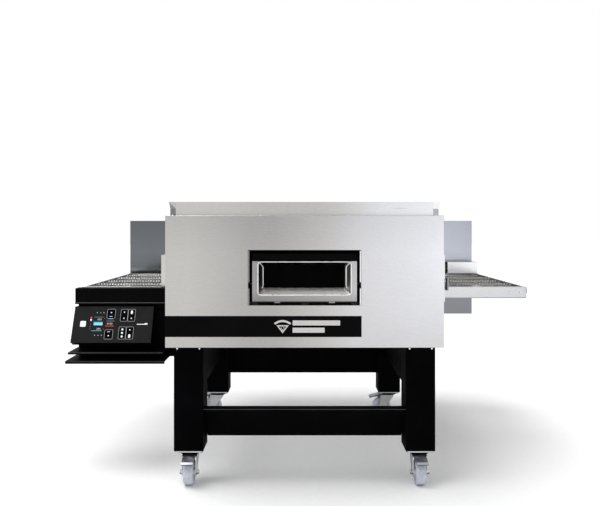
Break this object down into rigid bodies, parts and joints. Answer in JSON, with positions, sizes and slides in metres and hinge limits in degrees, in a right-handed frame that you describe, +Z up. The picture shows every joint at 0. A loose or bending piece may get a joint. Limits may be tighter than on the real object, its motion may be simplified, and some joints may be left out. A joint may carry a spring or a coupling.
{
  "type": "conveyor pizza oven",
  "caption": "Conveyor pizza oven with a stainless cabinet, wire belt through a heated tunnel, drop-down viewing door, tilted control console and castored stand.",
  "frame": {"origin": "on the floor under the middle of the whole machine", "axes": "+X along the conveyor towards the drive end, +Y from the front door to the back, +Z up"},
  "size_m": [2.08, 1.473, 1.153],
  "materials": {
    "stainless": "brushed satin stainless sheet",
    "galvanised": "plain aluminised sheet",
    "trim_black": "satin black painted strip",
    "mineral_wool": "matt mineral wool",
    "heater_alloy": "oxidised heater sheath",
    "motor_paint": "semi-matt black enamel",
    "bar_steel": "bright drawn bar",
    "belt_wire": "drawn stainless wire, slightly heat-tinted",
    "chain_steel": "oiled roller chain",
    "black_paint": "satin black powder coat",
    "face_grey": "dark grey membrane film",
    "button_white": "white backlit button",
    "key_black": "black membrane key",
    "board_green": "solder-masked circuit board",
    "door_steel": "satin pressed stainless",
    "black_glass": "dark heat-resistant glass",
    "handle_black": "heat-resistant black plastic",
    "zinc_plate": "bright zinc-plated pressing",
    "wheel_grey": "light blue-grey polyamide",
    "pedal_zinc": "bright zinc-plated pressing"
  },
  "bodies": {
    "casing": {"air_jets": "galvanised", "back_panel": "stainless", "baking_chamber": "galvanised", "bottom_panel": "galvanised", "cable_gland": "handle_black", "caster_plates": "zinc_plate", "chamber_insulation": "mineral_wool", "console_beam": "black_paint", "console_face": "face_grey", "console_housing": "black_paint", "console_plates": "black_paint", "control_board": "board_green", "conveyor_belt": "belt_wire", "conveyor_cross_bars": "bar_steel", "conveyor_rails": "stainless", "door_hinge": "bar_steel", "drive_chain": "chain_steel", "drive_motor": "motor_paint", "fan_motor_covers": "stainless", "fan_motors": "motor_paint", "fasteners": "bar_steel", "front_panel": "stainless", "heating_elements": "heater_alloy", "motor_cover": "stainless", "mouth_shrouds": "stainless", "rear_plenum": "galvanised", "rear_wings": "stainless", "side_panels": "stainless", "stand_beams": "black_paint", "stand_legs": "black_paint", "top_collar": "stainless", "top_panel": "stainless", "trim_stripe": "trim_black"},
    "door": {"door_panel": "door_steel", "door_glass": "black_glass", "door_handle": "handle_black"},
    "fan_left": {"circulation_fan_left": "galvanised"},
    "fan_right": {"circulation_fan_right": "galvanised"},
    "drive_roller": {"drive_shaft": "bar_steel"},
    "idler_roller": {"idler_shaft": "bar_steel"},
    "motor_output": {"motor_sprocket": "bar_steel"},
    "power_button": {"power_button": "button_white"},
    "upper_heat_key": {"upper_heat_key": "key_black"},
    "lower_heat_key": {"lower_heat_key": "key_black"},
    "program_up_key": {"program_up_key": "key_black"},
    "program_down_key": {"program_down_key": "key_black"},
    "belt_slower_key": {"belt_slower_key": "key_black"},
    "belt_faster_key": {"belt_faster_key": "key_black"},
    "swivel_front_left": {"caster_fork_front_left": "zinc_plate"},
    "wheel_front_left": {"caster_wheel_front_left": "wheel_grey"},
    "pedal_front_left": {"caster_pedal_front_left": "pedal_zinc"},
    "swivel_front_right": {"caster_fork_front_right": "zinc_plate"},
    "wheel_front_right": {"caster_wheel_front_right": "wheel_grey"},
    "pedal_front_right": {"caster_pedal_front_right": "pedal_zinc"},
    "swivel_rear_left": {"caster_fork_rear_left": "zinc_plate"},
    "wheel_rear_left": {"caster_wheel_rear_left": "wheel_grey"},
    "pedal_rear_left": {"caster_pedal_rear_left": "pedal_zinc"},
    "swivel_rear_right": {"caster_fork_rear_right": "zinc_plate"},
    "wheel_rear_right": {"caster_wheel_rear_right": "wheel_grey"},
    "pedal_rear_right": {"caster_pedal_rear_right": "pedal_zinc"}
  },
  "joints": [
    {"name": "door_hinge", "type": "hinge", "parent": "casing", "child": "door", "pos_m": [0, -0.7005, 0.745], "axis": [1, 0, 0], "range_deg": [0, 90]},
    {"name": "fan_left_spin", "type": "hinge", "parent": "casing", "child": "fan_left", "pos_m": [-0.26, 0.6075, 0.85], "axis": [0, 1, 0], "continuous": true},
    {"name": "fan_right_spin", "type": "hinge", "parent": "casing", "child": "fan_right", "pos_m": [0.26, 0.6075, 0.85], "axis": [0, 1, 0], "continuous": true},
    {"name": "drive_roller_spin", "type": "hinge", "parent": "casing", "child": "drive_roller", "pos_m": [0.996, 0.1075, 0.742], "axis": [0, 1, 0], "continuous": true},
    {"name": "idler_roller_spin", "type": "hinge", "parent": "casing", "child": "idler_roller", "pos_m": [-0.996, 0.1075, 0.742], "axis": [0, 1, 0], "continuous": true},
    {"name": "motor_output_spin", "type": "hinge", "parent": "casing", "child": "motor_output", "pos_m": [0.968, 0.5175, 0.812], "axis": [0, 1, 0], "continuous": true},
    {"name": "power_button_press", "type": "slide", "parent": "casing", "child": "power_button", "axis": [0, 0.9213, -0.3889], "range_m": [0, 0.001], "stiffness_N_per_m": 800, "springref_m": -0.001},
    {"name": "upper_heat_key_press", "type": "slide", "parent": "casing", "child": "upper_heat_key", "axis": [0, 0.9213, -0.3889], "range_m": [0, 0.001], "stiffness_N_per_m": 800, "springref_m": -0.001},
    {"name": "lower_heat_key_press", "type": "slide", "parent": "casing", "child": "lower_heat_key", "axis": [0, 0.9213, -0.3889], "range_m": [0, 0.001], "stiffness_N_per_m": 800, "springref_m": -0.001},
    {"name": "program_up_key_press", "type": "slide", "parent": "casing", "child": "program_up_key", "axis": [0, 0.9213, -0.3889], "range_m": [0, 0.001], "stiffness_N_per_m": 800, "springref_m": -0.001},
    {"name": "program_down_key_press", "type": "slide", "parent": "casing", "child": "program_down_key", "axis": [0, 0.9213, -0.3889], "range_m": [0, 0.001], "stiffness_N_per_m": 800, "springref_m": -0.001},
    {"name": "belt_slower_key_press", "type": "slide", "parent": "casing", "child": "belt_slower_key", "axis": [0, 0.9213, -0.3889], "range_m": [0, 0.001], "stiffness_N_per_m": 800, "springref_m": -0.001},
    {"name": "belt_faster_key_press", "type": "slide", "parent": "casing", "child": "belt_faster_key", "axis": [0, 0.9213, -0.3889], "range_m": [0, 0.001], "stiffness_N_per_m": 800, "springref_m": -0.001},
    {"name": "swivel_front_left_turn", "type": "hinge", "parent": "casing", "child": "swivel_front_left", "pos_m": [-0.47, -0.6325, 0.125], "axis": [0, 0, 1], "continuous": true},
    {"name": "wheel_front_left_roll", "type": "hinge", "parent": "swivel_front_left", "child": "wheel_front_left", "pos_m": [-0.47, -0.6675, 0.05], "axis": [1, 0, 0], "continuous": true},
    {"name": "pedal_front_left_press", "type": "hinge", "parent": "swivel_front_left", "child": "pedal_front_left", "pos_m": [-0.47, -0.6695, 0.113], "axis": [1, 0, 0], "range_deg": [0, 6]},
    {"name": "swivel_front_right_turn", "type": "hinge", "parent": "casing", "child": "swivel_front_right", "pos_m": [0.47, -0.6325, 0.125], "axis": [0, 0, 1], "continuous": true},
    {"name": "wheel_front_right_roll", "type": "hinge", "parent": "swivel_front_right", "child": "wheel_front_right", "pos_m": [0.47, -0.6675, 0.05], "axis": [1, 0, 0], "continuous": true},
    {"name": "pedal_front_right_press", "type": "hinge", "parent": "swivel_front_right", "child": "pedal_front_right", "pos_m": [0.47, -0.6695, 0.113], "axis": [1, 0, 0], "range_deg": [0, 6]},
    {"name": "swivel_rear_left_turn", "type": "hinge", "parent": "casing", "child": "swivel_rear_left", "pos_m": [-0.47, 0.2765, 0.125], "axis": [0, 0, 1], "continuous": true},
    {"name": "wheel_rear_left_roll", "type": "hinge", "parent": "swivel_rear_left", "child": "wheel_rear_left", "pos_m": [-0.505, 0.2765, 0.05], "axis": [0, -1, 0], "continuous": true},
    {"name": "pedal_rear_left_press", "type": "hinge", "parent": "swivel_rear_left", "child": "pedal_rear_left", "pos_m": [-0.507, 0.2765, 0.113], "axis": [0, -1, 0], "range_deg": [0, 6]},
    {"name": "swivel_rear_right_turn", "type": "hinge", "parent": "casing", "child": "swivel_rear_right", "pos_m": [0.47, 0.2765, 0.125], "axis": [0, 0, 1], "continuous": true},
    {"name": "wheel_rear_right_roll", "type": "hinge", "parent": "swivel_rear_right", "child": "wheel_rear_right", "pos_m": [0.435, 0.2765, 0.05], "axis": [0, -1, 0], "continuous": true},
    {"name": "pedal_rear_right_press", "type": "hinge", "parent": "swivel_rear_right", "child": "pedal_rear_right", "pos_m": [0.433, 0.2765, 0.113], "axis": [0, -1, 0], "range_deg": [0, 6]}
  ],
  "couplings": [
    {"joint": "idler_roller_spin", "follows": "drive_roller_spin", "ratio": 1},
    {"joint": "motor_output_spin", "follows": "drive_roller_spin", "ratio": 1}
  ]
}
